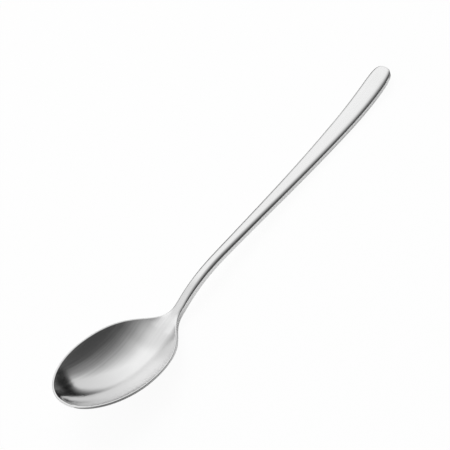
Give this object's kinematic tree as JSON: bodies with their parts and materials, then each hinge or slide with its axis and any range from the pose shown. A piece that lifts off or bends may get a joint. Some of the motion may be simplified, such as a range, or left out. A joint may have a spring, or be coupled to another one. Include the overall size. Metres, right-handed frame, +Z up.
{
  "type": "dessert spoon",
  "caption": "Brushed steel dessert spoon with an egg-shaped bowl, a slim raised neck and a widening handle whose rounded end turns up.",
  "frame": {"origin": "middle of the length and of the width, on the table that the spoon lies on", "axes": "+X from the bowl's tip to the end of the handle, +Y across, +Z up out of the bowl"},
  "size_m": [0.187, 0.0344, 0.0193],
  "materials": {
    "steel": "fine satin brushing along the length"
  },
  "bodies": {
    "root": {"bowl": "steel", "neck": "steel", "handle_shaft": "steel", "handle_end": "steel"}
  },
  "joints": []
}
